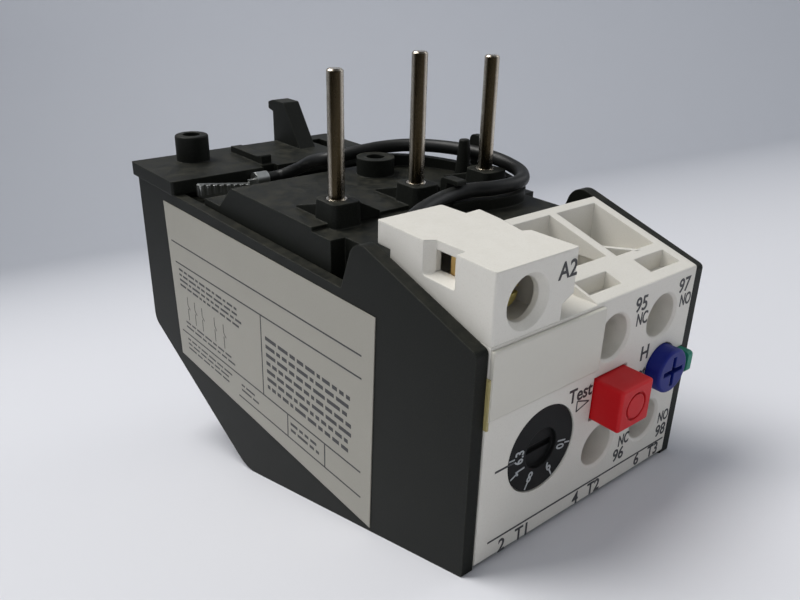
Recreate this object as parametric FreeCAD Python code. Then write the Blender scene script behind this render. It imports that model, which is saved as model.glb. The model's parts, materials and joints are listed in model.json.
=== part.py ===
import FreeCAD, Part
import math
import os

# Thermal overload relay, 45 mm wide class, with three line pins and a coil terminal.
# It is laid out in the relay's own directions: X across the poles, Y from the front
# face to the rear, Z along the line pins.  At the end the whole relay is tipped back
# by the slope of its base, so that it stands on its base edges at Z = 0.

os.makedirs("parts", exist_ok=True)

V = FreeCAD.Vector

# ---- driving dimensions, in millimetres and degrees ----

# casing
body_width = 45.0
wall = 1.9
wall_front = 0.2
base_slope = 16.6
base_front_z = -0.65
base_end = 57.0
base_round = 9.0
rear_face = 94.4
rear_low_z = -1.0
wall_top = 30.0
slope_rise = 0.31
crest_y = 22.8
crest_round = 2.8
hump_back = 25.8
front_top_z = 31.0
floor_thick = 1.5
bulkhead_y = 30.0
bulkhead_top = 22.0
barrier_front = 4.7
barrier = 1.5
terminal_wall_y = 44.0
ledge = 1.2
ledge_top = 27.5
ledge_deep = 3.0

# poles
pin_y = 37.3
pin_r = 1.2
pin_root_r = 1.55
pin_foot = 18.0
pin_top = 56.3
middle_pin_extra = 1.4

# deck
deck_top = 35.3
deck_skin = 2.0
deck_step = 0.6
deck_notch_y = 31.0
deck_notch = 2.5
deck_rear = 59.5
deck_slant_end = 64.0
deck_ledge_z = 31.2
trench_floor = 28.8
tower_rise = 2.9
deck_lap = 10.2
boss_x = 4.5
boss_y = 53.6
boss_r = 3.3
boss_rise = 3.0
boss_hole_r = 1.6

# latch plate
plate_front = 77.7
plate_rear = 96.3
plate_top = 32.5
plate_over = 0.4
peg_back = 5.5
peg_r = 3.2
peg_rise = 5.0
peg_bore = 1.7
hook_w = 3.8
hook_rise = 8.7
hook_proud = 0.7
hook_lip = 1.8
relief_w = 3.0
wedge_x = -2.3
wedge_w = 2.2
wedge_rise = 1.3

# front cover
cover_gap = 0.15
cover_depth = 18.8
panel = 2.0
skin = 1.4
cover_rise = 0.29
cover_top_left = 31.3
pocket_floor = 30.0
pocket_skin = 1.1
pocket_rib = 1.5
pocket_way_top = 32.1
wire_half = 2.5
wire_y0 = 8.4
wire_y1 = 12.0
plate_proud = 0.6
terminal_z = (25.5, 8.6)
driver_hole_r = 3.2
tube_wall = 0.8

# controls
dial_z = 13.4
dial_r = 6.1
dial_gap = 0.15
journal_r = 1.5
button_z = 17.1
button_w = 6.7
button_h = 6.3
button_out = 4.5
knob_z = 17.2
knob_r = 3.4
knob_out = 2.3
knob_travel = 2.0
slide_gap = 0.2
flag_w = 1.1
flag_to_knob = 4.15
flag_z0 = 15.4
flag_h = 3.3
flag_out = 2.0
flag_end = 8.8

# coil terminal
coil_taper = 0.6
coil_depth = 21.4
coil_top = 40.2
coil_room_y = 1.8
coil_recess = 1.7
coil_wall = 0.8
coil_rear = 3.6
coil_strip_y = 6.4
coil_strip_t = 1.0
window_y0 = 6.4
window_y1 = 12.5
window_z = 35.75
coil_screw_z = 35.4
coil_hole_r = 2.8
lead_r = 1.15
lead_seat = 0.1
guide_t = 1.3
post_r = 0.9
post_rise = 6.6
post_behind_pin = 5.7
tab_behind_pin = 7.3
tab_half = 1.3
tab_x0 = -19.0
tab_w = 10.6
tab_t = 0.7
tab_top = 32.1
tab_fall = 1.5
far = 80.0

# terminal screws
main_screw_z = -7.2
main_shank_r = 1.95
main_head_r = 3.3
main_head_h = 2.4
clamp_t = 1.0
clamp_lip = 0.5
strap_y = 42.8
strap_t = 1.0
strap_half = 4.5
aux_shank_r = 1.45
aux_head_r = 2.3
aux_head_h = 1.9
coil_head_r = 2.1
aux_travel = 2.0
screw_clear = 0.15
pivot_clear = 0.07
plate_gap = 0.1
play = 2.2

# tripping mechanism
bimetal_y = 46.0
bimetal_w = 6.0
bimetal_t = 0.8
bimetal_top = 27.4
slide_z = 24.0
slide_t = 1.0
slide_travel = 1.0
carrier_y = 12.0
carrier_t = 1.6
pivot_r = 0.8
trip_y = 17.5
arm_y = 24.4
arm_z = 14.2
contact_opening = 1.4
comp_y = 34.5
spring_wire = 0.44
spring_r = 1.9

# ---- values worked out from them ----

half = body_width / 2
inner = half - wall
cover_half = inner - cover_gap
tan_base = math.tan(math.radians(base_slope))
chamfer_rise = rear_low_z - (base_front_z - (base_end - wall_front) * tan_base)
chamfer_tan = chamfer_rise / (rear_face - base_end)
crest_z = front_top_z + (crest_y - wall_front) * slope_rise
pole_pitch = body_width / 3
pole_x = (-pole_pitch, 0.0, pole_pitch)
deck_half = inner - 0.1
deck_end = deck_rear + deck_lap
aux_plate_y = carrier_y - plate_gap - strap_t
plunger_end = carrier_y - knob_travel - 2.0
tube_end = aux_plate_y - plate_gap - clamp_t - clamp_lip - aux_travel - play
# places across the front, from the middle of the relay
terminal_x = (0.12 * half, 0.6 * half)
button_x = 0.142 * half
dial_x = -0.427 * half
aux_left = -0.0756 * half
pocket_rib_x = 0.449 * half
flag_x0 = half - 3.25
knob_x = flag_x0 - flag_to_knob
coil_right = -0.3045 * half
coil_screw_x = -half + 7.5
coil_left = -cover_half + coil_recess + coil_wall
coil_room_right = coil_right - 3.4
coil_notch_y = coil_depth - 4.4
# places of the latch and of the levers
peg_x = -0.551 * half
peg_y = plate_rear - peg_back
hook_x0 = 0.427 * half
trip_x = (terminal_x[0] + terminal_x[1]) / 2 + 0.3
comp_x = trip_x + 2.6
diff_x = pole_x[2] - 0.4
diff_y = bimetal_y + 8.0
heater_y0 = bimetal_y - 0.8
aux_names = {"95": (0, 0), "96": (0, 1), "97": (1, 0), "98": (1, 1)}


# ---- helpers ----

def base_z(y):
    """Height of the sloping base edge at depth y."""
    return base_front_z - (y - wall_front) * tan_base


def slope_z(y):
    """Height of the sloping top of the front cover at depth y."""
    return cover_top_left + 0.1 + y * cover_rise


def box(x0, x1, y0, y1, z0, z1):
    return Part.makeBox(x1 - x0, y1 - y0, z1 - z0, V(x0, y0, z0))


def rod_x(y, z, r, x0, x1):
    return Part.makeCylinder(r, x1 - x0, V(x0, y, z), V(1, 0, 0))


def rod_y(x, z, r, y0, y1):
    return Part.makeCylinder(r, y1 - y0, V(x, y0, z), V(0, 1, 0))


def rod_z(x, y, r, z0, z1):
    return Part.makeCylinder(r, z1 - z0, V(x, y, z0), V(0, 0, 1))


def outline(corners, to_point):
    """Closed face through corners (a, b) or (a, b, radius); a radius rounds its corner."""
    count = len(corners)
    ins = []
    outs = []
    arcs = []
    for i in range(count):
        here = to_point(corners[i][0], corners[i][1])
        before = to_point(corners[i - 1][0], corners[i - 1][1])
        after = to_point(corners[(i + 1) % count][0], corners[(i + 1) % count][1])
        radius = corners[i][2] if len(corners[i]) > 2 else 0.0
        if radius <= 0.0:
            ins.append(here)
            outs.append(here)
            arcs.append(None)
            continue
        back = (before - here).normalize()
        ahead = (after - here).normalize()
        angle = back.getAngle(ahead)
        reach = radius / math.tan(angle / 2)
        centre_way = (back + ahead).normalize()
        middle = here + centre_way * (radius / math.sin(angle / 2) - radius)
        ins.append(here + back * reach)
        outs.append(here + ahead * reach)
        arcs.append(middle)
    edges = []
    for i in range(count):
        if arcs[i] is not None:
            edges.append(Part.Arc(ins[i], arcs[i], outs[i]).toShape())
        start = outs[i]
        end = ins[(i + 1) % count]
        if start.distanceToPoint(end) > 1e-6:
            edges.append(Part.LineSegment(start, end).toShape())
    return Part.Face(Part.Wire(edges))


def slab_x(corners, x0, x1):
    """Profile of (y, z) corners, from x0 to x1."""
    return outline(corners, lambda y, z: V(x0, y, z)).extrude(V(x1 - x0, 0, 0))


def slab_y(corners, y0, y1):
    """Profile of (x, z) corners, from y0 to y1."""
    return outline(corners, lambda x, z: V(x, y0, z)).extrude(V(0, y1 - y0, 0))


def slab_z(corners, z0, z1):
    """Profile of (x, y) corners, from z0 to z1."""
    return outline(corners, lambda x, y: V(x, y, z0)).extrude(V(0, 0, z1 - z0))


def rounded(x0, x1, a0, a1, r):
    """Corners of a rounded rectangle."""
    return [(x0, a0, r), (x1, a0, r), (x1, a1, r), (x0, a1, r)]


def join(shapes):
    return shapes[0].multiFuse(shapes[1:]).removeSplitter()


# ---- casing ----

def side_profile():
    """Outline of one side wall, from its front foot round the base, rear and top."""
    return [
        (wall_front, base_front_z, 0.3),
        (base_end, base_z(base_end), base_round),
        (rear_face, rear_low_z, 2.5),
        (rear_face, wall_top),
        (hump_back, wall_top, 0.6),
        (crest_y, crest_z, crest_round),
        (wall_front, front_top_z, 0.8),
    ]


def belly_band():
    """Base, rear slant and rear wall of the bimetal chamber, all of one thickness."""
    lift = wall / math.cos(math.radians(base_slope))
    rear_lift = wall * math.sqrt(1 + chamfer_tan ** 2)
    inner_rear = rear_face - wall
    inner_rear_z = rear_low_z - wall * chamfer_tan + rear_lift
    band = [
        (terminal_wall_y, base_z(terminal_wall_y)),
        (base_end, base_z(base_end), base_round),
        (rear_face, rear_low_z, 2.5),
        (rear_face, wall_top),
        (inner_rear, wall_top),
        (inner_rear, inner_rear_z, 1.0),
        (base_end, base_z(base_end) + lift, base_round - wall),
        (terminal_wall_y + wall, base_z(terminal_wall_y + wall) + lift),
        (terminal_wall_y + wall, -floor_thick),
        (terminal_wall_y, -floor_thick),
    ]
    return slab_x(band, -inner, inner)


def case_body():
    """Side walls, belly, floor of the front compartment, bulkhead and phase barriers."""
    sides = slab_x(side_profile(), -half, half)
    sides = sides.cut(box(-inner, inner, -1, rear_face + 1, -far, far))
    back = terminal_wall_y + wall
    floor = box(-inner, inner, cover_depth + cover_gap, back, -floor_thick, 0)
    bulkhead = box(-inner, inner, bulkhead_y, bulkhead_y + floor_thick, 0, bulkhead_top)
    pieces = [sides, belly_band(), floor, bulkhead]
    fin_end = terminal_wall_y + wall / 2
    fin = [
        (barrier_front, base_z(barrier_front)),
        (fin_end, base_z(fin_end)),
        (fin_end, -floor_thick / 2),
        (cover_depth + cover_gap, -floor_thick / 2),
        (cover_depth + cover_gap, -cover_gap),
        (barrier_front, -cover_gap),
    ]
    for side in (-1, 1):
        x = side * pole_pitch / 2
        pieces.append(slab_x(fin, x - barrier / 2, x + barrier / 2))
        # shelf along the side wall that carries the deck
        x0 = min(side * inner, side * (inner - ledge))
        x1 = max(side * inner, side * (inner - ledge))
        pieces.append(box(x0, x1, deck_notch_y, rear_face - wall, ledge_top - ledge_deep, ledge_top))
    rear_inside = rear_face - wall
    pieces.append(box(-inner, inner, rear_inside - ledge, rear_inside, ledge_top - ledge_deep, ledge_top))
    body = join(pieces)
    for x in pole_x:
        # slot for the terminal strap, and the well that its screw runs into
        slot_half = strap_half + plate_gap * 2
        slot_y = strap_y - plate_gap * 2
        body = body.cut(box(x - slot_half, x + slot_half, slot_y, terminal_wall_y, -floor_thick - 1, 1))
        body = body.cut(rod_y(x, main_screw_z, main_shank_r + 0.5, strap_y, back + 1))
    return body


# ---- deck on top, with the pin towers and the clips of the coil lead ----

lead_route = [
    (-4.8, 75.6, 30.9),
    (-1.6, 75.6, 30.9),
    (0.4, 71.8, 33.0),
    (-0.9, 65.6, 35.8),
    (-0.6, 60.6, 37.2),
    (3.4, 58.6, 38.1),
    (8.6, 57.6, 38.6),
    (12.6, 55.2, 39.0),
    (15.6, 51.2, 39.2),
    (17.3, 47.2, 39.3),
    (18.7, 42.4, 39.2),
    (18.9, 36.8, 38.9),
    (17.9, 31.8, 38.4),
    (15.2, 28.8, 38.1),
    (11.6, 27.9, 38.0),
    (7.6, 28.3, 38.0),
    (4.4, 29.6, 38.0),
    (0.6, 29.9, 37.8),
    (-3.6, 28.9, 37.6),
    (-7.6, 27.4, 37.4),
    (-10.9, 25.6, 37.2),
    (-11.6, 22.6, 37.2),
    (-11.6, 17.9, 37.2),
]
# the stretch of the route that lies on the guide wall
guide_run = lead_route[6:18]


def smooth_path(points):
    """Straight runs between the points, joined by tangent arcs, and the arcs' radii."""
    edges = []
    radii = []
    start = points[0]
    for i in range(1, len(points) - 1):
        back = points[i - 1] - points[i]
        ahead = points[i + 1] - points[i]
        half_turn = (math.pi - back.getAngle(ahead)) / 2
        reach = 0.45 * min(back.Length, ahead.Length)
        radius = reach / math.tan(half_turn)
        radii.append(radius)
        back.normalize()
        ahead.normalize()
        p_in = points[i] + back * reach
        p_out = points[i] + ahead * reach
        middle = points[i] + (back + ahead).normalize() * (radius / math.cos(half_turn) - radius)
        edges.append(Part.LineSegment(start, p_in).toShape())
        edges.append(Part.Arc(p_in, middle, p_out).toShape())
        start = p_out
    edges.append(Part.LineSegment(start, points[-1]).toShape())
    return Part.Wire(edges), radii


def tower(x):
    """Tower round a line pin, with a gusset to the rear and one to the right."""
    head_z = deck_top + tower_rise
    foot = rounded(x - 2.8, x + 2.5, pin_y - 3.5, pin_y + 2.5, 1.2)
    head = rounded(x - 2.5, x + 2.3, pin_y - 3.1, pin_y + 2.2, 1.0)
    foot = outline(foot, lambda a, b: V(a, b, deck_top - 1))
    head = outline(head, lambda a, b: V(a, b, head_z))
    body = Part.makeLoft([foot.OuterWire, head.OuterWire], True)
    rear = [
        (pin_y, deck_top - 0.5),
        (pin_y + 7.6, deck_top - 0.5),
        (pin_y + 7.6, deck_top + 0.3),
        (pin_y + 1.8, head_z - 0.9),
        (pin_y, head_z - 0.9),
    ]
    right = [
        (x, deck_top - 0.5),
        (x + 6.4, deck_top - 0.5),
        (x + 6.4, deck_top + 0.4),
        (x + 2.0, head_z - 0.2),
        (x, head_z - 0.2),
    ]
    return join([body, slab_x(rear, x - 2.2, x - 1.4), slab_y(right, pin_y - 2.0, pin_y - 1.2)])


def guide_wall():
    """Wall on the deck under the lead's loop; its top follows the lead's slow fall."""
    foot = deck_top - deck_step - 0.5
    head = guide_run[0][2]
    points = [V(p[0], p[1], foot) for p in guide_run]
    path = smooth_path(points)[0]
    across = (points[1] - points[0]).cross(V(0, 0, 1)).normalize() * (guide_t / 2)
    up = V(0, 0, head - foot)
    ring = [points[0] - across, points[0] + across, points[0] + across + up, points[0] - across + up]
    section = Part.makePolygon(ring + ring[:1])
    wall_solid = path.makePipeShell([section], True, False)
    y0 = guide_run[-1][1]
    z0 = guide_run[-1][2] - lead_r - lead_seat
    y1 = guide_run[0][1]
    z1 = guide_run[0][2] - lead_r - lead_seat
    fall = (z1 - z0) / (y1 - y0)
    above = [
        (y0 - 10, z0 - 10 * fall),
        (y1 + 10, z1 + 10 * fall),
        (y1 + 10, far),
        (y0 - 10, far),
    ]
    return wall_solid.cut(slab_x(above, -half, half))


def lead_post(x, y, top):
    """Round post inside the loop, wider at its foot."""
    post = Part.makeCone(post_r * 1.7, post_r, top - deck_top + 0.5, V(x, y, deck_top - 0.5))
    rim = [e for e in post.Edges if abs(e.CenterOfMass.z - top) < 0.01]
    return post.makeFillet(0.3, rim)


def lead_tab(x, y, top):
    """Round-topped tab outside the loop."""
    tab = [
        (y - tab_half, deck_top - 0.5),
        (y + tab_half, deck_top - 0.5),
        (y + tab_half, top, tab_half * 0.8),
        (y - tab_half, top, tab_half * 0.8),
    ]
    return slab_x(tab, x, x + 0.9)


def top_deck():
    step_top = deck_top - deck_step
    cap = [
        (deck_notch_y, ledge_top),
        (deck_end, ledge_top),
        (deck_end, deck_ledge_z, 0.4),
        (deck_slant_end, deck_ledge_z),
        (deck_rear, deck_top, 0.3),
        (deck_notch_y, deck_top),
    ]
    hollow = [
        (deck_notch_y + deck_skin, ledge_top - 1),
        (deck_end - deck_skin, ledge_top - 1),
        (deck_end - deck_skin, deck_ledge_z - deck_skin),
        (deck_slant_end - 1, deck_ledge_z - deck_skin),
        (deck_rear - 1, deck_top - deck_skin),
        (deck_notch_y + deck_skin, deck_top - deck_skin),
    ]
    deck = slab_x(cap, -deck_half, deck_half)
    deck = deck.cut(slab_x(hollow, -deck_half + deck_skin, deck_half - deck_skin))
    deck = deck.cut(box(-half, half, 0, pin_y - 1.6, step_top, deck_top + 5))
    front = cover_depth + cover_gap
    narrow = deck_half - deck_notch
    skirt_low = bulkhead_top + 1
    pieces = [deck]
    pieces.append(box(-narrow, narrow, front, deck_notch_y + deck_skin, step_top - deck_skin, step_top))
    for side in (-1, 1):
        x0 = min(side * narrow, side * (narrow - skin))
        x1 = max(side * narrow, side * (narrow - skin))
        pieces.append(box(x0, x1, front, deck_notch_y + deck_skin, skirt_low, step_top - 1))
    shelf_end = rear_face - wall - plate_gap
    shelf_front = deck_end - deck_skin
    pieces.append(box(-deck_half, deck_half, shelf_front, shelf_end, ledge_top, trench_floor))
    for x in pole_x:
        pieces.append(tower(x))
    boss = rod_z(boss_x, boss_y, boss_r, deck_top - 0.5, deck_top + boss_rise)
    pieces.append(boss)
    # post inside the loop, tab outside it, and the clip hooked over the front run
    pieces.append(lead_post(pole_x[2] + 0.5, pin_y + post_behind_pin, deck_top + post_rise))
    pieces.append(lead_tab(deck_half - 0.9, pin_y + tab_behind_pin, deck_top + post_rise))
    clip = [
        (31.3, step_top - 0.5),
        (32.6, step_top - 0.5),
        (32.6, 40.0, 0.6),
        (28.8, 40.0, 0.3),
        (28.8, 39.3),
        (31.3, 39.3, 0.3),
    ]
    pieces.append(slab_x(clip, 0.8, 2.6))
    pieces.append(guide_wall())
    deck = join(pieces)
    for i in range(3):
        deck = deck.cut(rod_z(pole_x[i], pin_y, pin_root_r + plate_gap, 0, far))
    return deck.cut(rod_z(boss_x, boss_y, boss_hole_r, 0, far))


def coil_lead():
    """Insulated lead along its route: straight runs joined by tangent arcs."""
    points = [V(*p) for p in lead_route]
    path, radii = smooth_path(points)
    section = Part.Wire([Part.makeCircle(lead_r, points[0], points[1] - points[0])])
    lead = path.makePipeShell([section], True, False)
    print("lead radii", [round(r, 1) for r in radii])
    expected = math.pi * lead_r ** 2 * path.Length
    print("lead volume", round(lead.Volume, 1), "section x length", round(expected, 1))
    return lead


def coil_tab():
    """Serrated tab in the trench, with the barrel that grips the lead."""
    x0 = tab_x0
    x1 = tab_x0 + tab_w
    back_y = lead_route[0][1] + 0.35
    face = [
        (x0, trench_floor + 1.0, 0.3),
        (x0 + 1.6, trench_floor),
        (x1, trench_floor),
        (x1, tab_top - tab_fall, 0.2),
        (x0, tab_top, 0.4),
    ]
    plate = slab_y(face, back_y - tab_t, back_y)
    ribs = []
    count = 8
    for i in range(count):
        share = (i + 0.5) / count
        top = tab_top - 0.15 - tab_fall * share
        ribs.append(rod_z(x0 + share * (x1 - x0), back_y - tab_t, 0.4, trench_floor + 1.0, top))
    neck = box(x1 - 0.3, x1 + 1.2, back_y - tab_t, back_y, 29.9, 31.2)
    barrel = rod_x(lead_route[0][1], lead_route[0][2], lead_r + 0.35, x1 + 1.0, lead_route[0][0])
    return join([plate, neck, barrel] + ribs)


def latch_plate():
    """Rear plate with the peg and the hook that hold the relay under its contactor."""
    edge = half + plate_over
    plate = slab_z(rounded(-edge, edge, plate_front, plate_rear, 0.5), wall_top, plate_top)
    skirt_y = plate_front + 1.5
    skirt = box(-deck_half, deck_half, skirt_y, skirt_y + 1.2, trench_floor + plate_gap, wall_top)
    peg = rod_z(peg_x, peg_y, peg_r, plate_top, plate_top + peg_rise)
    rim = [e for e in peg.Edges if abs(e.CenterOfMass.z - plate_top - peg_rise) < 0.01]
    peg = peg.makeFillet(0.4, rim)
    wedge_front = plate_front + 2.0
    wedge = [
        (wedge_front, plate_top - 0.5),
        (plate_rear - 4.0, plate_top - 0.5),
        (plate_rear - 4.0, plate_top + wedge_rise, 0.4),
        (wedge_front + 1.8, plate_top + wedge_rise),
        (wedge_front, plate_top + wedge_rise + 0.5, 0.3),
    ]
    hook_top = plate_top + hook_rise
    hook_rear = plate_rear + hook_proud
    hook_foot = plate_rear - 9.8
    hook = [
        (hook_rear, plate_top - 1),
        (hook_rear, hook_top - 2.4),
        (hook_rear + hook_lip, hook_top - 2.0, 0.3),
        (hook_rear + hook_lip, hook_top - 0.6, 0.4),
        (hook_rear, hook_top, 0.6),
        (hook_rear - 4.4, hook_top, 0.6),
        (hook_foot, plate_top),
        (hook_foot, plate_top - 1),
    ]
    hook_x1 = hook_x0 + hook_w
    pieces = [plate, skirt, peg, slab_x(wedge, wedge_x - wedge_w / 2, wedge_x + wedge_w / 2)]
    pieces.append(slab_x(hook, hook_x0, hook_x1))
    body = join(pieces)
    body = body.cut(rod_z(peg_x, peg_y, peg_bore, plate_top + 1.5, plate_top + peg_rise + 1))
    # slot beside the hook, and the notch in the front edge beside the wedge
    slot_x = hook_x1 + 2.1
    slot_y0 = plate_front + 2.9
    slot_y1 = plate_rear - 3.8
    body = body.cut(box(slot_x, slot_x + relief_w, slot_y0, slot_y1, wall_top - 1, plate_top + 1))
    notch_x = wedge_x - wedge_w / 2 - 0.8
    notch_y = plate_front + 1.4
    return body.cut(box(notch_x, notch_x + 3.2, plate_front - 1, notch_y, wall_top + 0.8, plate_top + 1))


# ---- front cover ----

def front_cover():
    """Panel with the controls, the four auxiliary terminals and the two wire pockets."""
    side = [
        (0, 0, 0.5),
        (cover_depth, 0),
        (cover_depth, slope_z(cover_depth)),
        (0, slope_z(0), 0.4),
    ]
    cover = slab_x(side, -cover_half, cover_half)
    cuts = [box(-half, aux_left, -1, cover_depth + 1, cover_top_left, far)]
    inside = cover_half - skin
    cuts.append(box(-inside, inside, panel, cover_depth + 1, skin, pocket_floor - pocket_skin))
    cuts.append(box(-inside, aux_left - skin, panel, cover_depth + 1, skin, cover_top_left - skin))
    # the two wire pockets and the two small cored pockets in front of them
    rear = cover_depth - skin
    rib_left = pocket_rib_x - pocket_rib
    cuts.append(box(aux_left + 1.5, rib_left, 6.9, rear, pocket_floor, far))
    cuts.append(box(pocket_rib_x, inside - 0.2, 6.3, rear, pocket_floor, far))
    cuts.append(box(aux_left + 0.5, aux_left + 7.1, 1.8, 4.5, slope_z(0) - 1.2, far))
    cuts.append(box(pocket_rib_x + 1.8, inside - 0.3, 1.8, 4.7, slope_z(0) - 1.2, far))
    # way out under the rib at the front of the left pocket
    under = pocket_floor - pocket_skin - 1
    cuts.append(box(rib_left - 3.0, rib_left + 0.7, 8.1, wire_y1, under, pocket_way_top))
    cover = cover.cut(Part.makeCompound(cuts[0:1])).cut(Part.makeCompound(cuts[1:]))
    rib_top = slope_z(9) - 0.8
    rib = [
        (pocket_rib_x - 0.4, 11.9),
        (pocket_rib_x + 4.0, 6.0),
        (pocket_rib_x + 4.9, 6.0),
        (pocket_rib_x - 0.4, 13.0),
    ]
    pieces = [cover, slab_z(rib, pocket_floor - 0.5, rib_top)]
    for x in terminal_x:
        for z in terminal_z:
            pieces.append(rod_y(x, z, driver_hole_r + tube_wall, panel - 0.5, tube_end))
    cover = join(pieces)
    holes = []
    for x in terminal_x:
        for z in terminal_z:
            holes.append(rod_y(x, z, driver_hole_r, -1, tube_end + 1))
            lip = Part.makeCone(driver_hole_r + 0.35, driver_hole_r, 0.35, V(x, 0, z), V(0, 1, 0))
            holes.append(lip)
        holes.append(box(x - wire_half, x + wire_half, wire_y0, wire_y1, -1, skin + 1))
        holes.append(box(x - wire_half, x + wire_half, wire_y0, wire_y1, under, pocket_floor + 1))
    holes.append(rod_y(dial_x, dial_z, dial_r + dial_gap, -1, panel + 1))
    gap = slide_gap
    holes.append(box(button_x - button_w / 2 - gap, button_x + button_w / 2 + gap, -1, panel + 1,
                     button_z - button_h / 2 - gap, button_z + button_h / 2 + gap))
    holes.append(rod_y(knob_x, knob_z, knob_r + gap, -1, panel + 1))
    holes.append(box(flag_x0 - 0.15, half, -1, flag_end + 1, flag_z0 - gap, flag_z0 + flag_h + gap))
    holes.append(box(inside - 0.5, half, panel, flag_end + 1, flag_z0 - gap, flag_z0 + flag_h + gap))
    for hole in holes:
        cover = cover.cut(hole)
    return cover


def marking_plate():
    """Blank marking plate in front of the upper left of the panel, clipped over its edge."""
    low = 21.8
    face = [
        (-plate_proud, low, 0.3),
        (-0.05, low),
        (-0.05, cover_top_left - 0.4),
        (-plate_proud, cover_top_left - 0.4, 0.35),
    ]
    left = -cover_half
    return slab_x(face, left, terminal_x[0] - driver_hole_r)


def coil_terminal_block():
    """Housing of the coil terminal, with its driver hole, side window and lead entry."""
    left = -cover_half
    right = coil_right
    plan = [
        (left, 0, 0.3),
        (right, 0, 0.3),
        (right - 0.2, coil_notch_y - 9.7),
        (right - 1.3, coil_notch_y - 9.2),
        (right - 0.1, coil_notch_y - 4.4),
        (right + 0.5, coil_notch_y, 0.2),
        (right - 2.1, coil_notch_y - 0.2),
        (right - 2.2, coil_depth, 0.3),
        (left + coil_taper, coil_depth, 0.3),
    ]
    bottom = cover_top_left
    block = slab_z(plan, bottom, coil_top)
    # under-cut over the deck, the step in the rear left, and the lower right corner
    block = block.cut(box(left - 1, far, cover_depth - 0.1, far, 0, deck_top - deck_step + plate_gap))
    block = block.cut(box(left - 1, left + 6.0, coil_depth - 2.8, far, 0, coil_top - 3.1))
    step = [
        (right - 2.1, bottom - 1),
        (right - 2.1, bottom + 2.2),
        (right + 1, bottom + 3.7),
        (right + 1, bottom - 1),
    ]
    block = block.cut(slab_y(step, -1, cover_depth + 5))
    room_rear = coil_depth - coil_rear
    room_top = coil_top - 1.2
    block = block.cut(box(coil_left, coil_room_right, coil_room_y, room_rear, bottom + 1.0, room_top))
    block = block.cut(rod_y(coil_screw_x, coil_screw_z, coil_hole_r, -1, coil_room_y + 1))
    lip = Part.makeCone(coil_hole_r + 0.7, coil_hole_r, 1.0, V(coil_screw_x, 0, coil_screw_z), V(0, 1, 0))
    block = block.cut(lip)
    # side window: a recess that breaks through the top edge, and the opening in its floor
    outer = rounded(window_y0, window_y1, window_z, coil_top + 2, 0.4)
    deep = rounded(window_y0 + 0.2, window_y1 - 1.1, window_z + 0.5, coil_top + 1, 0.3)
    mouth = outline(outer, lambda y, z: V(left - 0.01, y, z))
    floor = outline(deep, lambda y, z: V(left + coil_recess, y, z))
    block = block.cut(Part.makeLoft([mouth.OuterWire, floor.OuterWire], True))
    block = block.cut(box(left, coil_left + 0.5, window_y0 + 1.7, window_y1 - 1.1, window_z + 0.5, room_top))
    return block.cut(rod_y(lead_route[-1][0], lead_route[-1][2], lead_r + 0.2, room_rear - 0.5, far))


# ---- controls ----

def setting_dial():
    """Current-setting dial: numbered face, retaining flange, shaft and eccentric cam."""
    face = rod_y(dial_x, dial_z, dial_r, 0.15, panel + 0.4)
    flange = rod_y(dial_x, dial_z, dial_r + 0.9, panel + 0.2, panel + 1.3)
    shaft = rod_y(dial_x, dial_z, 2.6, panel + 1.2, carrier_y - 0.3)
    journal = rod_y(dial_x, dial_z, journal_r, carrier_y - 0.5, carrier_y + carrier_t)
    cam = rod_y(dial_x + 1.2, dial_z, 4.2, 7.5, 10.0)
    dial = join([face, flange, shaft, journal, cam])
    slot = box(dial_x - 2.6, dial_x + 2.6, 0, 1.3, dial_z - 0.5, dial_z + 0.5)
    dial = dial.cut(rod_y(dial_x, dial_z, 2.9, 0, 0.75))
    return dial.cut(slot)


def test_button():
    """Square button with a ring groove, a retaining flange and the rod that opens 95-96."""
    x0 = button_x - button_w / 2
    x1 = button_x + button_w / 2
    z0 = button_z - button_h / 2
    z1 = button_z + button_h / 2
    cap = slab_y(rounded(x0, x1, z0, z1, 0.45), -button_out, panel + 0.6)
    front = [e for e in cap.Edges if abs(e.CenterOfMass.y + button_out) < 0.01]
    cap = cap.makeFillet(0.4, front)
    flange = box(x0 - 0.7, x1 + 0.7, panel + 0.2, panel + 1.4, z0 - 0.7, z1 + 0.7)
    rod = rod_y(button_x, button_z, 1.0, panel + 1, 15.0)
    button = join([cap, flange, rod])
    groove = rod_y(button_x, button_z, 2.1, -button_out - 0.1, -button_out + 0.35)
    groove = groove.cut(rod_y(button_x, button_z, 1.75, -button_out - 0.1, -button_out + 0.35))
    return button.cut(groove)


def coil_spring(x, z, y0, y1, turns):
    """Compression spring along Y, lofted through the sections of its wire."""
    steps = 10
    pitch = (y1 - y0 - spring_wire) / turns
    near = spring_r - spring_wire / 2
    away = spring_r + spring_wire / 2
    sections = []
    for i in range(steps * turns + 1):
        angle = 2 * math.pi * i / steps
        way = V(math.cos(angle), 0, math.sin(angle))
        start = V(x, y0 + pitch * i / steps, z)
        along = V(0, spring_wire, 0)
        inner_end = start + way * near
        outer_end = start + way * away
        ring = [inner_end, outer_end, outer_end + along, inner_end + along]
        sections.append(Part.makePolygon(ring + ring[:1]))
    return Part.makeLoft(sections, True, True)


def reset_plunger():
    """Sleeve that the reset knob turns in; it slides with the knob when that is pressed."""
    flange = rod_y(knob_x, knob_z, knob_r + 0.45, panel + 0.3, panel + 1.2)
    sleeve = rod_y(knob_x, knob_z, 2.6, panel + 0.3, plunger_end)
    rod = rod_y(knob_x, knob_z, 1.2, plunger_end - 0.5, carrier_y + 5)
    bore = rod_y(knob_x, knob_z, 1.5 + pivot_clear, 0, plunger_end - 1.4)
    return join([flange, sleeve, rod]).cut(bore)


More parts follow.
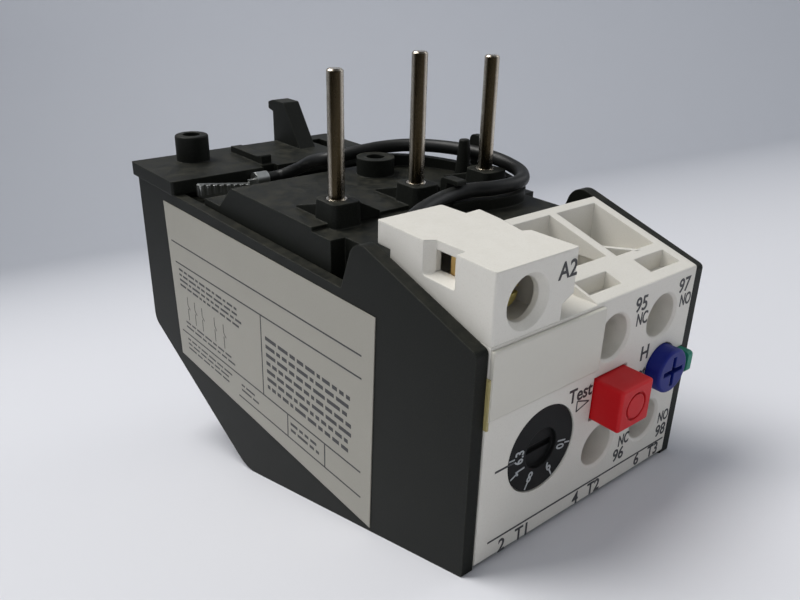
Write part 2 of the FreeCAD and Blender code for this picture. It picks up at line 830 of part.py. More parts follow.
def reset_knob():
    """Blue selector and reset knob with a cross slot, pressed to reset, turned for H or A."""
    head = rod_y(knob_x, knob_z, knob_r, -knob_out, panel + 0.2)
    rim = [e for e in head.Edges if abs(e.CenterOfMass.y + knob_out) < 0.01]
    head = head.makeFillet(0.45, rim)
    stem = rod_y(knob_x, knob_z, 1.5, panel, plunger_end - 1.6)
    knob = join([head, stem])
    for wide, tall in ((4.6, 0.8), (0.8, 4.6)):
        slot = box(knob_x - wide / 2, knob_x + wide / 2, -knob_out - 1, -knob_out + 1.2,
                   knob_z - tall / 2, knob_z + tall / 2)
        knob = knob.cut(slot)
    return knob


def trip_indicator():
    """Green flag in the right edge of the panel, with the tail that the trip lever moves."""
    face = [
        (-flag_out, flag_z0, 0.6),
        (flag_end, flag_z0),
        (flag_end, flag_z0 + flag_h),
        (-flag_out, flag_z0 + flag_h, 0.6),
    ]
    flag = slab_x(face, flag_x0, flag_x0 + flag_w)
    tail = box(flag_x0 - 1.1, flag_x0 + 0.2, flag_end - 1.2, flag_end, flag_z0 + 0.2, flag_z0 + flag_h - 0.2)
    return join([flag, tail])


# ---- terminal screws ----

def screw(x, z, head_y, head_r, head_h, shank_r, shank_end):
    """Slotted cheese-head screw along Y, its head towards the front."""
    head = rod_y(x, z, head_r, head_y, head_y + head_h)
    rim = [e for e in head.Edges if abs(e.CenterOfMass.y - head_y) < 0.01]
    head = head.makeFillet(0.3, rim)
    body = join([head, rod_y(x, z, shank_r, head_y + head_h - 0.1, shank_end)])
    return body.cut(box(x - head_r, x + head_r, head_y - 1, head_y + head_h * 0.45, z - 0.4, z + 0.4))


def clamp(x, z, w, y0, y1, hole_r):
    """Square clamp washer whose side edges are turned up beside the screw head."""
    tray = [
        (x - w, y0 - clamp_lip),
        (x - w + clamp_lip, y0 - clamp_lip),
        (x - w + clamp_lip, y0),
        (x + w - clamp_lip, y0),
        (x + w - clamp_lip, y0 - clamp_lip),
        (x + w, y0 - clamp_lip),
        (x + w, y1),
        (x - w, y1),
    ]
    return slab_z(tray, z - w, z + w).cut(rod_y(x, z, hole_r, y0 - 1, y1 + 1))


def main_terminal_plate(x):
    """Strap from the terminal bay up into the chamber, with the tab that holds the bimetal."""
    y1 = strap_y + strap_t
    face = box(x - strap_half, x + strap_half, strap_y, y1, main_screw_z - 5.2, -0.6)
    neck = box(x - 1.6, x + 1.6, strap_y, y1, -0.7, 8.0)
    tab = box(x - 1.6, x - bimetal_t / 2, strap_y, bimetal_y + bimetal_w, 1.5, 8.0)
    hole = rod_y(x, main_screw_z, main_shank_r + screw_clear, strap_y - 1, y1 + 1)
    return join([face, neck, tab]).cut(hole)


def main_clamp(x):
    y1 = strap_y - plate_gap
    w = main_head_r + clamp_lip + plate_gap
    return clamp(x, main_screw_z, w, y1 - clamp_t, y1, main_shank_r + screw_clear)


def main_screw(x):
    head_y = strap_y - 2 * plate_gap - clamp_t - main_head_h
    return screw(x, main_screw_z, head_y, main_head_r, main_head_h, main_shank_r, terminal_wall_y + 5)


def aux_clamp(x, z):
    y1 = aux_plate_y - plate_gap
    return clamp(x, z, aux_head_r + clamp_lip + plate_gap, y1 - clamp_t, y1, aux_shank_r + screw_clear)


def aux_screw(x, z):
    head_y = aux_plate_y - 2 * plate_gap - clamp_t - aux_head_h
    return screw(x, z, head_y, aux_head_r, aux_head_h, aux_shank_r, carrier_y + carrier_t + 1.2)


def coil_contact_strip():
    """Brass strip behind the coil screw, folded along the side wall to the window."""
    y0 = coil_strip_y
    y1 = y0 + coil_strip_t
    left = coil_left + plate_gap
    low = coil_screw_z - 2.9
    high = coil_top - 1.4
    plate = box(left, coil_room_right - plate_gap, y0, y1, low, high)
    fold = box(left, left + 0.9, y0, window_y0 + 3.4, coil_screw_z, high)
    # the tail runs back over the screw to the end of the lead
    tail_x = coil_room_right - 1.35
    tail_end = coil_depth - coil_rear - plate_gap
    tail_z = coil_screw_z + aux_shank_r + screw_clear
    tail = box(tail_x - 1.2, tail_x + 1.2, y0, tail_end, tail_z, tail_z + 0.8)
    strip = join([plate, fold, tail])
    return strip.cut(rod_y(coil_screw_x, coil_screw_z, aux_shank_r + screw_clear, y0 - 1, y1 + 1))


def coil_clamp():
    y1 = coil_strip_y - plate_gap
    w = coil_head_r + clamp_lip + plate_gap
    return clamp(coil_screw_x, coil_screw_z, w, y1 - clamp_t, y1, aux_shank_r + screw_clear)


def coil_screw():
    head_y = coil_strip_y - 2 * plate_gap - clamp_t - aux_head_h
    end = coil_strip_y + coil_strip_t + 3
    return screw(coil_screw_x, coil_screw_z, head_y, coil_head_r, aux_head_h, aux_shank_r, end)


# ---- power path ----

def line_pin(index):
    """Round line pin with its collar under the deck and the strap to its heater."""
    x = pole_x[index]
    top = pin_top + (middle_pin_extra if index == 1 else 0.0)
    root = rod_z(x, pin_y, pin_root_r, pin_foot, deck_top + tower_rise)
    pin = rod_z(x, pin_y, pin_r, deck_top, top)
    rim = [e for e in pin.Edges if abs(e.CenterOfMass.z - top) < 0.01]
    pin = pin.makeChamfer(0.25, rim)
    under = deck_top - deck_skin - plate_gap
    collar = rod_z(x, pin_y, pin_root_r + 0.7, under - 1.8, under)
    strap = box(x - pin_r, x + pin_r, pin_y, heater_y0, pin_foot - 0.6, pin_foot + 0.6)
    return join([root, pin, collar, strap])


def heater_winding(x):
    """Flat heater winding round the bimetal, as a ribbed sleeve."""
    y1 = bimetal_y + bimetal_w + 0.8
    core = box(x - 2.1, x + 2.1, heater_y0 + 0.5, y1 - 0.5, 10.0, 21.4)
    turns = [core]
    for i in range(6):
        z = 10.2 + i * 1.95
        turns.append(box(x - 2.6, x + 2.6, heater_y0, y1, z, z + 1.2))
    gap = 0.3
    reach = bimetal_t / 2 + gap
    bore = box(x - reach, x + reach, bimetal_y - gap, bimetal_y + bimetal_w + gap, 0, far)
    return join(turns).cut(bore)


def bimetal_strip(x):
    return box(x - bimetal_t / 2, x + bimetal_t / 2, bimetal_y, bimetal_y + bimetal_w, 1.5, bimetal_top)


# ---- tripping mechanism ----

def mechanism_carrier():
    """Moulded carrier of the contacts: plate across the cover, two legs to the bulkhead."""
    y1 = carrier_y + carrier_t
    x0 = aux_left + 0.2
    x1 = cover_half - skin - 0.1
    plate = box(x0, x1, carrier_y, y1, skin + 0.1, pocket_floor - pocket_skin - 0.1)
    bearing = box(dial_x - 4, x0 + 1, carrier_y, y1, dial_z - 4, dial_z + 4)
    pieces = [plate, bearing]
    for a in (x0, x1 - 1.5):
        pieces.append(box(a, a + 1.5, carrier_y, bulkhead_y, skin + 0.1, 20.0))
        pieces.append(box(a, a + 1.5, cover_depth + 0.5, bulkhead_y, 0, 2))
    for z in (skin + 0.1, 26.5):
        pieces.append(box(trip_x - 2, trip_x + 2, carrier_y, trip_y + 2, z, z + 1.2))
    carrier = join(pieces)
    for x in terminal_x:
        for z in terminal_z:
            carrier = carrier.cut(rod_y(x, z, aux_shank_r + 0.3, carrier_y - 1, y1 + 1))
            tail_z = contact_tail_z(z)
            carrier = carrier.cut(box(x - 1.6, x + 1.6, carrier_y - 1, y1 + 1, tail_z - 0.1, tail_z + 0.9))
    carrier = carrier.cut(rod_y(dial_x, dial_z, journal_r + pivot_clear, carrier_y - 1, y1 + 1))
    carrier = carrier.cut(rod_y(button_x, button_z, 1.3, carrier_y - 1, y1 + 1))
    carrier = carrier.cut(rod_y(knob_x, knob_z, 1.5, carrier_y - 1, y1 + 1))
    carrier = carrier.cut(rod_z(trip_x, trip_y, pivot_r, 0, 40))
    return carrier.cut(rod_x(arm_y, arm_z, pivot_r, -5, half))


def contact_tail_z(z):
    """Height of the tail that leads from a terminal plate into the mechanism."""
    return z - 3.0 if z > 15 else z + 2.2


def terminal_contact(name):
    """Terminal plate of one auxiliary terminal with its tail; 95 and 97 carry a rivet."""
    column, row = aux_names[name]
    x = terminal_x[column]
    z = terminal_z[row]
    y0 = aux_plate_y
    plate = box(x - 3.2, x + 3.2, y0, y0 + strap_t, z - 3.2, z + 3.2)
    tail_z = contact_tail_z(z)
    end = 19.2 if row == 0 else arm_y - 2.4
    pieces = [plate, box(x - 1.5, x + 1.5, y0, end, tail_z, tail_z + 0.8)]
    if row == 0:
        low = tail_z - (0.8 if column == 0 else 0.3)
        pieces.append(rod_z(x, 18.0, 1.1, low, tail_z + 0.1))
    return join(pieces).cut(rod_y(x, z, aux_shank_r + screw_clear, y0 - 1, y0 + 2))


def contact_arm(column):
    """Moving contact: hub on its pivot pin, upright blade and top blade with a rivet."""
    x = terminal_x[column]
    tail = contact_tail_z(terminal_z[0])
    rivet_top = tail - 0.8 - plate_gap if column == 0 else tail - 0.3 - contact_opening
    hub = rod_x(arm_y, arm_z, 1.6, x - 1.5, x + 1.5)
    upright = box(x - 1.5, x + 1.5, arm_y - 0.4, arm_y + 0.4, arm_z, rivet_top - 0.4)
    blade = box(x - 1.5, x + 1.5, 16.8, arm_y + 0.4, rivet_top - 1.1, rivet_top - 0.4)
    rivet = rod_z(x, 18.0, 1.1, rivet_top - 0.5, rivet_top)
    return join([hub, upright, blade, rivet]).cut(rod_x(arm_y, arm_z, pivot_r + pivot_clear, x - 3, x + 3))


def trip_lever():
    """Upright lever that the compensation lever trips; its fingers work the contact arms."""
    hub = rod_z(trip_x, trip_y, 1.6, 3.0, 26.2)
    arm = box(trip_x - 0.6, trip_x + 0.6, trip_y, 26.0, slide_z, 26.2)
    left = box(trip_x - 3.8, trip_x, trip_y - 0.7, trip_y + 0.7, 18.8, 20.0)
    right = box(trip_x, trip_x + 3.2, trip_y - 0.7, trip_y + 0.7, 18.8, 20.0)
    return join([hub, arm, left, right]).cut(rod_z(trip_x, trip_y, pivot_r + pivot_clear, 0, 40))


def compensation_lever():
    """Lever over the bulkhead: rear arm at the trip slide, front arm at the trip lever."""
    hub = rod_z(comp_x, comp_y, 1.8, slide_z - 0.4, 27.0)
    arm = box(comp_x - 0.6, comp_x + 0.6, 25.4, bimetal_y - 2.8, slide_z, 26.4)
    return join([hub, arm]).cut(rod_z(comp_x, comp_y, pivot_r + pivot_clear, 0, 40))


def pivot_pins():
    """Three steel pins: trip lever, contact arms and compensation lever."""
    x1 = cover_half - skin - 0.1
    trip = rod_z(trip_x, trip_y, pivot_r, skin + 0.1, 27.7)
    arms = rod_x(arm_y, arm_z, pivot_r, aux_left + 0.2, x1)
    post = rod_z(comp_x, comp_y, 1.5, 0, slide_z - 0.6)
    comp = join([post, rod_z(comp_x, comp_y, pivot_r, 0, 27.6)])
    return Part.makeCompound([trip, arms, comp])


def slide_plate(z):
    """Trip bar across the three bimetals, with a window round each."""
    end = bimetal_y + bimetal_w
    left = -inner + ledge + 0.3
    right = inner - ledge - slide_travel - 0.3
    plate = box(left, right, bimetal_y - 2.0, end + 4.0, z, z + slide_t)
    for x in pole_x:
        window_left = x - bimetal_t / 2 - 1.6
        window_right = x + bimetal_t / 2 + 0.3
        plate = plate.cut(box(window_left, window_right, bimetal_y - 0.4, end + 0.4, z - 1, z + slide_t + 1))
    return plate


def trip_slide():
    nose = box(comp_x - 2.4, comp_x - 0.75, bimetal_y - 4.4, bimetal_y - 1.8, slide_z, slide_z + slide_t)
    pin = rod_z(diff_x, diff_y, pivot_r, slide_z, slide_z + slide_t + 0.9)
    return join([slide_plate(slide_z), nose, pin])


def differential_slide():
    return slide_plate(slide_z + slide_t + 1.0)


def differential_lever():
    """Small lever between the two bars; it adds their travels when a phase is missing."""
    z0 = slide_z + slide_t + 0.15
    body = slab_z(rounded(diff_x - 1.6, diff_x + 1.6, diff_y - 1.6, diff_y + 1.6, 1.5), z0, z0 + 0.7)
    arm = box(diff_x - 6.5, diff_x, diff_y - 0.6, diff_y + 0.6, z0, z0 + 0.7)
    return join([body, arm]).cut(rod_z(diff_x, diff_y, pivot_r + pivot_clear, 0, 40))


# ---- build, stand on the base edges and write ----

def build():
    parts = {
        "case_body": case_body(),
        "top_deck": top_deck(),
        "latch_plate": latch_plate(),
        "front_cover": front_cover(),
        "marking_plate": marking_plate(),
        "coil_terminal_block": coil_terminal_block(),
        "coil_lead": coil_lead(),
        "coil_tab": coil_tab(),
        "coil_contact_strip": coil_contact_strip(),
        "coil_clamp": coil_clamp(),
        "coil_screw": coil_screw(),
        "setting_dial": setting_dial(),
        "test_button": test_button(),
        "test_spring": coil_spring(button_x, button_z, panel + 1.5, carrier_y - 0.05, 5),
        "reset_plunger": reset_plunger(),
        "reset_knob": reset_knob(),
        "reset_spring": coil_spring(knob_x, knob_z, plunger_end + 0.05, carrier_y - 0.05, 4),
        "trip_indicator": trip_indicator(),
        "mechanism_carrier": mechanism_carrier(),
        "nc_contact_arm": contact_arm(0),
        "no_contact_arm": contact_arm(1),
        "trip_lever": trip_lever(),
        "pivot_pins": pivot_pins(),
        "compensation_lever": compensation_lever(),
        "trip_slide": trip_slide(),
        "differential_slide": differential_slide(),
        "differential_lever": differential_lever(),
    }
    for i in range(3):
        pole = str(i + 1)
        parts["line_pin_" + pole] = line_pin(i)
        parts["heater_winding_" + pole] = heater_winding(pole_x[i])
        parts["bimetal_strip_" + pole] = bimetal_strip(pole_x[i])
        parts["main_terminal_plate_" + pole] = main_terminal_plate(pole_x[i])
        parts["main_clamp_" + pole] = main_clamp(pole_x[i])
        parts["main_screw_" + pole] = main_screw(pole_x[i])
    for name, (column, row) in aux_names.items():
        x = terminal_x[column]
        z = terminal_z[row]
        parts["terminal_contact_" + name] = terminal_contact(name)
        parts["aux_clamp_" + name] = aux_clamp(x, z)
        parts["aux_screw_" + name] = aux_screw(x, z)
    return parts


def stand(parts):
    """Tip every piece back by the base slope and put the base at Z = 0, centred."""
    for shape in parts.values():
        shape.rotate(V(0, 0, 0), V(1, 0, 0), base_slope)
    whole = Part.makeCompound(list(parts.values())).BoundBox
    shift = V(0, -(whole.YMin + whole.YMax) / 2, -whole.ZMin)
    for shape in parts.values():
        shape.translate(shift)
    return shift


parts = build()
shift = stand(parts)
for name, shape in parts.items():
    shape.exportStep("parts/" + name + ".step")
print(len(parts), "nodes written, shift", shift)
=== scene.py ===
import bpy
import bmesh
import json
import math
import random
from mathutils import Matrix, Vector


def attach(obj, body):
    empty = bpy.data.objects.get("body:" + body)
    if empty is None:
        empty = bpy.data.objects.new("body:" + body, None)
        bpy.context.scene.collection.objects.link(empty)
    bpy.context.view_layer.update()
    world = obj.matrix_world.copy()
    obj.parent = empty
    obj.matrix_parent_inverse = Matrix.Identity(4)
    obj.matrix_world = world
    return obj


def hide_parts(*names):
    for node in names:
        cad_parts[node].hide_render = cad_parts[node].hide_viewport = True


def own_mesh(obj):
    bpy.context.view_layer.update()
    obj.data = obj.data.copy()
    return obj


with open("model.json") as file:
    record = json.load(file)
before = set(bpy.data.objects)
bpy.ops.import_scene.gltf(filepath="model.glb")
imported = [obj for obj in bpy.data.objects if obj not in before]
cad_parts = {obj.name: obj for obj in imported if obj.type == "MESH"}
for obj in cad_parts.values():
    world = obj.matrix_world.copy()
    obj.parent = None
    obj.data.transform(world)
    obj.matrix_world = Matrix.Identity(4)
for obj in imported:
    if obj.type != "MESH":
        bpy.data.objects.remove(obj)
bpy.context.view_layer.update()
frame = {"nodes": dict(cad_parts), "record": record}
nodes = frame["nodes"]
print("frame loaded:", len(nodes), "nodes")

# The relay leans back by the slope of its base.  Places are written in the relay's own
# directions, in millimetres: x across the poles, y from the panel to the rear, z along
# the pins.  at() turns them into the frame's metres, way() turns a direction.
millimetre = 0.001
lean = {"angle": math.radians(16.6), "shift": (0.0, -39.4531, 0.5658)}
toFrame = Matrix.Rotation(lean["angle"], 4, "X")


def at(x, y, z):
    return (toFrame @ Vector((x, y, z)) + Vector(lean["shift"])) * millimetre


def way(x, y, z):
    return toFrame @ Vector((x, y, z))


# axes as columns, then the place
def axesAt(right, up, out, place):
    rows = [(right[i], up[i], out[i], place[i]) for i in range(3)]
    return Matrix((*rows, (0, 0, 0, 1)))


def addObject(name, data):
    made = bpy.data.objects.new(name, data)
    bpy.context.scene.collection.objects.link(made)
    return made


cameraLook = {
    "place": at(-75.515, -50.712, 70.447),
    "heading": 36.29,   # degrees, from +Y towards +X
    "pitch": 11.22,     # downwards
    "roll": -9.44,
    "lens": 34.4, "sensor": 36.0, "clipStart": 0.005,
}


def addCamera(look):
    heading, pitch, roll = (math.radians(look[k]) for k in ("heading", "pitch", "roll"))
    flat = math.cos(pitch)
    ahead = Vector((math.sin(heading) * flat, math.cos(heading) * flat, -math.sin(pitch)))
    level = Vector((math.cos(heading), -math.sin(heading), 0.0))
    above = level.cross(ahead)
    right = level * math.cos(roll) + above * math.sin(roll)
    up = above * math.cos(roll) - level * math.sin(roll)
    data = bpy.data.cameras.new("camera")
    data.lens = look["lens"]
    data.sensor_width = look["sensor"]
    data.clip_start = look["clipStart"]
    camera = addObject("camera", data)
    camera.matrix_world = axesAt(right, up, -ahead, look["place"])
    bpy.context.scene.camera = camera


addCamera(cameraLook)
print("camera set")


# shader tools: a value given to a node may be a plain one or another node's output
def feed(tree, value, socket):
    if isinstance(value, bpy.types.NodeSocket):
        tree.links.new(value, socket)
    else:
        socket.default_value = value


def node(tree, kind, **values):
    made = tree.nodes.new(kind)
    for key, value in values.items():
        if hasattr(made, key):
            setattr(made, key, value)
        else:
            feed(tree, value, made.inputs[key.replace("_", " ")])
    return made


def maths(tree, operation, *values):
    made = node(tree, "ShaderNodeMath", operation=operation)
    for value, socket in zip(values, made.inputs):
        feed(tree, value, socket)
    return made.outputs[0]


def product(tree, a, b):
    return maths(tree, "MULTIPLY", a, b)


def dot(tree, a, b):
    made = node(tree, "ShaderNodeVectorMath", operation="DOT_PRODUCT")
    feed(tree, a, made.inputs[0])
    feed(tree, b, made.inputs[1])
    return made.outputs["Value"]


# spreads start..end over low..high, and stops there
def spread(tree, value, ends, low=0.0, high=1.0):
    made = node(tree, "ShaderNodeMapRange", Value=value, From_Min=ends[0], From_Max=ends[1],
                To_Min=low, To_Max=high)
    return made.outputs["Result"]


def mixed(tree, factor, a, b):
    return node(tree, "ShaderNodeMix", data_type="RGBA", Factor=factor, A=a, B=b).outputs["Result"]


def noise(tree, **values):
    return node(tree, "ShaderNodeTexNoise", **values).outputs["Fac"]


def objectPlace(tree):
    return node(tree, "ShaderNodeTexCoord").outputs["Object"]


def newMaterial(name):
    material = bpy.data.materials.new(name)
    material.use_nodes = True
    tree = material.node_tree
    tree.nodes.clear()
    shader = tree.nodes.new("ShaderNodeBsdfPrincipled")
    out = tree.nodes.new("ShaderNodeOutputMaterial")
    tree.links.new(shader.outputs["BSDF"], out.inputs["Surface"])
    return material, tree, shader


# outputs of a group: a colour, a roughness and a height for the bump
def newGroup(name, inputs):
    group = bpy.data.node_groups.new(name, "ShaderNodeTree")
    for label, kind, value in inputs:
        socket = group.interface.new_socket(name=label, in_out="INPUT", socket_type="NodeSocket" + kind)
        socket.default_value = value
    for label, kind in (("Color", "Color"), ("Roughness", "Float"), ("Height", "Float")):
        group.interface.new_socket(name=label, in_out="OUTPUT", socket_type="NodeSocket" + kind)
    given = group.nodes.new("NodeGroupInput").outputs
    result = group.nodes.new("NodeGroupOutput").inputs
    return group, given, result


def useGroup(tree, group, values):
    made = tree.nodes.new("ShaderNodeGroup")
    made.node_tree = group
    for key, value in values.items():
        made.inputs[key].default_value = value
    return made.outputs


# moulded plastic: fine speckle, slow drift of tone, lighter edges that are partly rubbed wear and partly
# painted highlight, dust on what faces up
mouldedLook = {
    "fineDetail": 3.0, "fineRoughness": 0.65,
    "speck": (0.52, 0.72),           # the fine noise that shows as specks
    "driftScale": 90.0, "driftDetail": 4.0,
    "edge": (0.99, 0.75),            # rounded against flat normal, from no edge to full edge
    "up": (0.6, 1.0),                # how far a face looks up before dust lies on it
    "patchScale": 420.0, "patchDetail": 5.0, "patchRoughness": 0.7, "patch": (0.42, 0.75),
    "dustRoughens": 0.4, "speckRoughens": 0.1,
}
bevelSamples = 6


def mouldedGroup(look):
    group, given, result = newGroup("mouldedSurface", [
        ("Color", "Color", (0.1, 0.1, 0.1, 1)), ("Roughness", "Float", 0.5), ("Drift", "Float", 0.1),
        ("Speck Color", "Color", (0.2, 0.2, 0.2, 1)), ("Speck Amount", "Float", 0.3),
        ("Speck Scale", "Float", 3000.0),
        ("Edge Color", "Color", (0.3, 0.3, 0.3, 1)), ("Edge Amount", "Float", 0.3),
        ("Edge Width", "Float", 0.0004),
        ("Dust Color", "Color", (0.5, 0.5, 0.48, 1)), ("Dust Amount", "Float", 0.1),
    ])
    where = objectPlace(group)
    fine = noise(group, Vector=where, Scale=given["Speck Scale"], Detail=look["fineDetail"],
                 Roughness=look["fineRoughness"])
    speck = product(group, spread(group, fine, look["speck"]), given["Speck Amount"])
    specked = mixed(group, speck, given["Color"], given["Speck Color"])
    slow = noise(group, Vector=where, Scale=look["driftScale"], Detail=look["driftDetail"])
    drift = maths(group, "MULTIPLY_ADD", spread(group, slow, (0.0, 1.0), -1.0, 1.0), given["Drift"], 1.0)
    toned = node(group, "ShaderNodeVectorMath", operation="SCALE", Vector=specked, Scale=drift)
    rounded = node(group, "ShaderNodeBevel", samples=bevelSamples, Radius=given["Edge Width"])
    flat = node(group, "ShaderNodeNewGeometry").outputs["Normal"]
    edge = spread(group, dot(group, rounded.outputs["Normal"], flat), look["edge"])
    # lighter edges: partly rubbed wear, partly a painted highlight along the rims
    worn = product(group, product(group, edge, fine), given["Edge Amount"])
    edged = mixed(group, worn, toned.outputs["Vector"], given["Edge Color"])
    up = spread(group, node(group, "ShaderNodeSeparateXYZ", Vector=flat).outputs["Z"], look["up"])
    patch = noise(group, Vector=where, Scale=look["patchScale"], Detail=look["patchDetail"],
                  Roughness=look["patchRoughness"])
    dust = product(group, product(group, up, spread(group, patch, look["patch"])), given["Dust Amount"])
    rough = maths(group, "MULTIPLY_ADD", fine, look["speckRoughens"], given["Roughness"])
    feed(group, mixed(group, dust, edged, given["Dust Color"]), result["Color"])
    feed(group, maths(group, "MULTIPLY_ADD", dust, look["dustRoughens"], rough), result["Roughness"])
    feed(group, fine, result["Height"])
    return group


moulded = mouldedGroup(mouldedLook)


# softened edges and the fine relief of the surface
def addRelief(tree, shader, surface, edgeRound, bump, bumpDepth):
    soft = node(tree, "ShaderNodeBevel", samples=bevelSamples, Radius=edgeRound).outputs["Normal"]
    relief = node(tree, "ShaderNodeBump", Strength=bump, Distance=bumpDepth,
                  Height=surface["Height"], Normal=soft)
    tree.links.new(relief.outputs["Normal"], shader.inputs["Normal"])


def plastic(name, values, bump=0.1, bumpDepth=0.00002, specular=0.5, edgeRound=0.00025):
    material, tree, shader = newMaterial(name)
    surface = useGroup(tree, moulded, values)
    tree.links.new(surface["Color"], shader.inputs["Base Color"])
    tree.links.new(surface["Roughness"], shader.inputs["Roughness"])
    addRelief(tree, shader, surface, edgeRound, bump, bumpDepth)
    shader.inputs["Specular IOR Level"].default_value = specular
    return material


# a colour of 0 to 255 as the linear one that a shader takes
def rgb(*levels):
    linear = [((v / 255 + 0.055) / 1.055) ** 2.4 if v > 10 else v / 255 / 12.92 for v in levels]
    return (*linear, 1.0)


darkCasing = plastic("darkCasing", {
    "Color": rgb(16, 18, 14), "Roughness": 0.5, "Drift": 0.16,
    "Speck Color": rgb(62, 66, 56), "Speck Amount": 0.24, "Speck Scale": 5200.0,
    "Edge Color": rgb(96, 98, 88), "Edge Amount": 0.32, "Edge Width": 0.0004,
    "Dust Color": rgb(112, 108, 92), "Dust Amount": 0.2,
}, bump=0.35, specular=0.2)
lightCover = plastic("lightCover", {
    "Color": rgb(217, 214, 206), "Roughness": 0.42, "Drift": 0.03,
    "Speck Color": rgb(188, 184, 172), "Speck Amount": 0.22, "Speck Scale": 4200.0,
    "Edge Color": rgb(222, 217, 206), "Edge Amount": 0.3, "Edge Width": 0.0004,
    "Dust Color": rgb(176, 170, 156), "Dust Amount": 0.15,
}, bump=0.12, specular=0.4)
whitePlate = plastic("whitePlate", {
    "Color": rgb(204, 201, 191), "Roughness": 0.3, "Drift": 0.03,
    "Speck Color": rgb(194, 190, 178), "Speck Amount": 0.12, "Speck Scale": 1400.0,
    "Edge Color": rgb(220, 214, 196), "Edge Amount": 0.35, "Edge Width": 0.0003,
    "Dust Color": rgb(184, 178, 162), "Dust Amount": 0.08,
}, bump=0.03, specular=0.4)
dialBlack = plastic("dialBlack", {
    "Color": rgb(9, 10, 10), "Roughness": 0.5, "Drift": 0.1,
    "Speck Color": rgb(50, 52, 52), "Speck Amount": 0.18, "Speck Scale": 3800.0,
    "Edge Color": rgb(40, 42, 42), "Edge Amount": 0.2, "Edge Width": 0.00025,
    "Dust Color": rgb(96, 96, 92), "Dust Amount": 0.12,
}, bump=0.15, specular=0.25)
redButton = plastic("redButton", {
    "Color": rgb(196, 8, 20), "Roughness": 0.4, "Drift": 0.05,
    "Speck Color": rgb(206, 50, 56), "Speck Amount": 0.14, "Speck Scale": 3000.0,
    "Edge Color": rgb(224, 70, 74), "Edge Amount": 0.5, "Edge Width": 0.0005,
    "Dust Color": rgb(206, 96, 98), "Dust Amount": 0.12,
}, bump=0.08, specular=0.3)
blueKnob = plastic("blueKnob", {
    "Color": rgb(6, 24, 118), "Roughness": 0.42, "Drift": 0.08,
    "Speck Color": rgb(30, 58, 142), "Speck Amount": 0.2, "Speck Scale": 3000.0,
    "Edge Color": rgb(70, 96, 168), "Edge Amount": 0.4, "Edge Width": 0.0004,
    "Dust Color": rgb(84, 102, 150), "Dust Amount": 0.12,
}, bump=0.08, specular=0.3)
greenFlag = plastic("greenFlag", {
    "Color": rgb(36, 128, 106), "Roughness": 0.42, "Drift": 0.06,
    "Speck Color": rgb(70, 150, 132), "Speck Amount": 0.2, "Speck Scale": 3000.0,
    "Edge Color": rgb(96, 166, 150), "Edge Amount": 0.4, "Edge Width": 0.0003,
    "Dust Color": rgb(120, 150, 140), "Dust Amount": 0.12,
}, bump=0.08, specular=0.3)
innerPlastic = plastic("innerPlastic", {
    "Color": rgb(44, 41, 36), "Roughness": 0.45, "Drift": 0.05,
    "Speck Color": rgb(70, 66, 58), "Speck Amount": 0.2, "Speck Scale": 3000.0,
    "Edge Color": rgb(84, 80, 70), "Edge Amount": 0.3, "Edge Width": 0.0003,
    "Dust Color": rgb(96, 92, 80), "Dust Amount": 0.1,
}, bump=0.1, specular=0.4)
leadBlack = plastic("leadBlack", {
    "Color": rgb(17, 18, 17), "Roughness": 0.4, "Drift": 0.1,
    "Speck Color": rgb(46, 48, 46), "Speck Amount": 0.2, "Speck Scale": 2500.0,
    "Edge Color": rgb(46, 46, 44), "Edge Amount": 0.0, "Edge Width": 0.0001,
    "Dust Color": rgb(88, 88, 80), "Dust Amount": 0.2,
}, bump=0.1, specular=0.35)
paperLabel = plastic("paperLabel", {
    "Color": rgb(156, 153, 143), "Roughness": 0.38, "Drift": 0.04,
    "Speck Color": rgb(140, 137, 126), "Speck Amount": 0.2, "Speck Scale": 3400.0,
    "Edge Color": rgb(178, 175, 164), "Edge Amount": 0.2, "Edge Width": 0.0001,
    "Dust Color": rgb(136, 132, 120), "Dust Amount": 0.1,
}, bump=0.05, specular=0.4)
agedClear = plastic("agedClear", {
    "Color": rgb(168, 156, 104), "Roughness": 0.3, "Drift": 0.15,
    "Speck Color": rgb(196, 186, 140), "Speck Amount": 0.4, "Speck Scale": 1600.0,
    "Edge Color": rgb(206, 198, 160), "Edge Amount": 0.5, "Edge Width": 0.0002,
    "Dust Color": rgb(150, 140, 104), "Dust Amount": 0.1,
}, bump=0.1, specular=0.5)

# metal: fine scratches, slow tarnish
metalLook = {
    "scratchDetail": 4.0, "scratchRoughness": 0.6, "scratchRoughens": 0.25,
    "tarnishScale": 260.0, "tarnishDetail": 5.0, "tarnishRoughness": 0.6, "tarnish": (0.42, 0.7),
}


def metalGroup(look):
    group, given, result = newGroup("metalSurface", [
        ("Color", "Color", (0.6, 0.6, 0.6, 1)), ("Roughness", "Float", 0.25),
        ("Tarnish Color", "Color", (0.4, 0.35, 0.3, 1)), ("Tarnish Amount", "Float", 0.3),
        ("Stretch", "Vector", (1.0, 1.0, 1.0)), ("Scratch Scale", "Float", 2000.0),
    ])
    where = objectPlace(group)
    stretched = node(group, "ShaderNodeVectorMath", operation="MULTIPLY")
    feed(group, where, stretched.inputs[0])
    feed(group, given["Stretch"], stretched.inputs[1])
    scratch = noise(group, Vector=stretched.outputs["Vector"], Scale=given["Scratch Scale"],
                    Detail=look["scratchDetail"], Roughness=look["scratchRoughness"])
    slow = noise(group, Vector=where, Scale=look["tarnishScale"], Detail=look["tarnishDetail"],
                 Roughness=look["tarnishRoughness"])
    spots = product(group, spread(group, slow, look["tarnish"]), given["Tarnish Amount"])
    feed(group, mixed(group, spots, given["Color"], given["Tarnish Color"]), result["Color"])
    rough = maths(group, "MULTIPLY_ADD", scratch, look["scratchRoughens"], given["Roughness"])
    feed(group, rough, result["Roughness"])
    feed(group, scratch, result["Height"])
    return group


metalSurface = metalGroup(metalLook)
